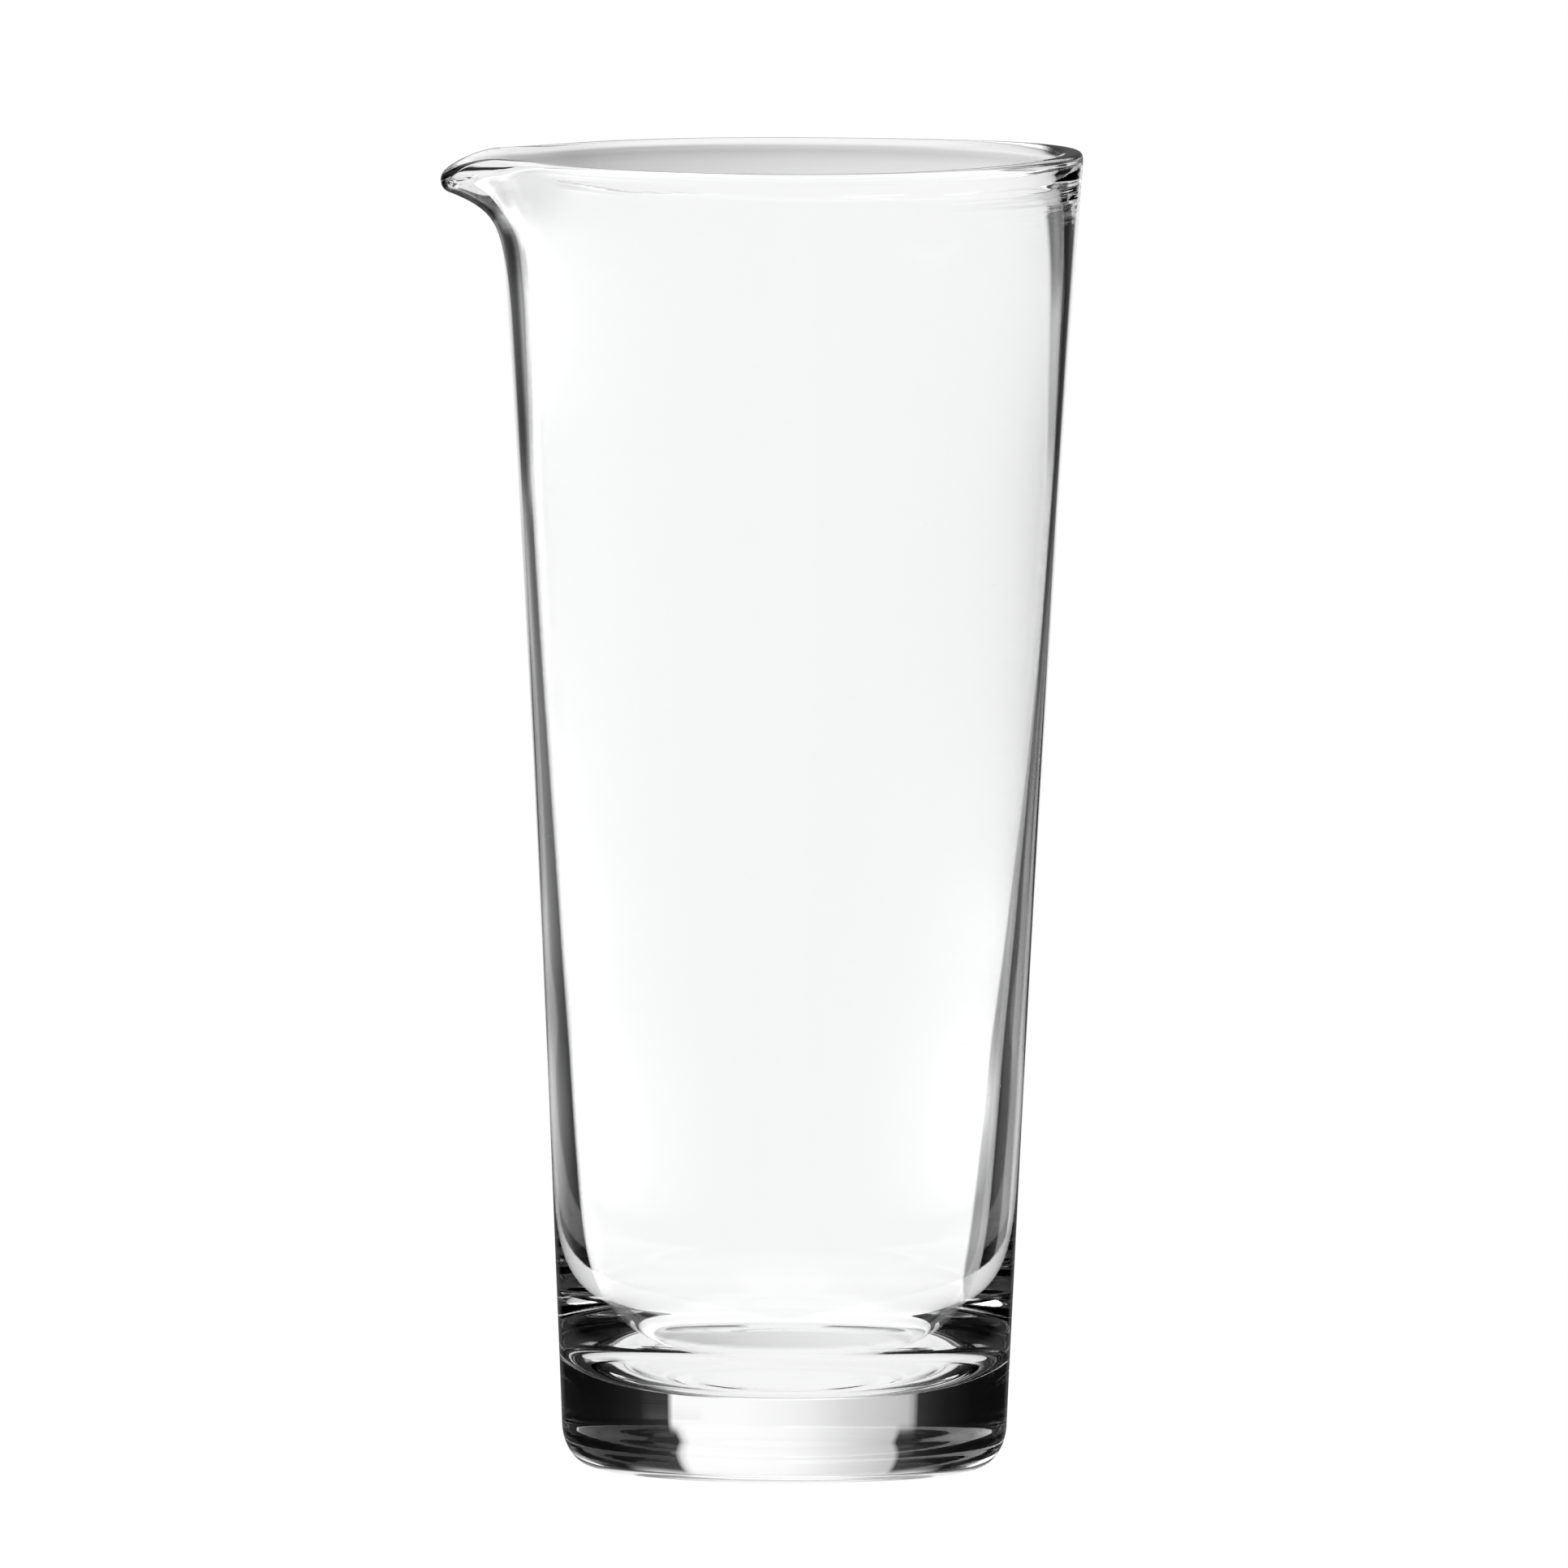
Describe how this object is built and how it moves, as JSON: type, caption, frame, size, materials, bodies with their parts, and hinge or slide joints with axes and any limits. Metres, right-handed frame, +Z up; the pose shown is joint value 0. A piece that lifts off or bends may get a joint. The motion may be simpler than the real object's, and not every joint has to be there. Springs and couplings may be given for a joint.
{
  "type": "mixing beaker",
  "caption": "Tall tapered clear-glass mixing beaker with a thick solid base, rounded bowl floor, fire-rounded rim and a drawn pouring lip.",
  "frame": {"origin": "centre of the flat resting face under the base", "axes": "+Z up along the vessel's axis, -X towards the pouring lip, +Y across the lip; mirror-symmetric about the plane Y = 0"},
  "size_m": [0.091, 0.0826, 0.1869],
  "materials": {
    "clear_glass": "fire-polished clear soda-lime glass, smooth and glossy, with faint drawn ripples near the rim"
  },
  "bodies": {
    "root": {"glass_body": "clear_glass"}
  },
  "joints": []
}
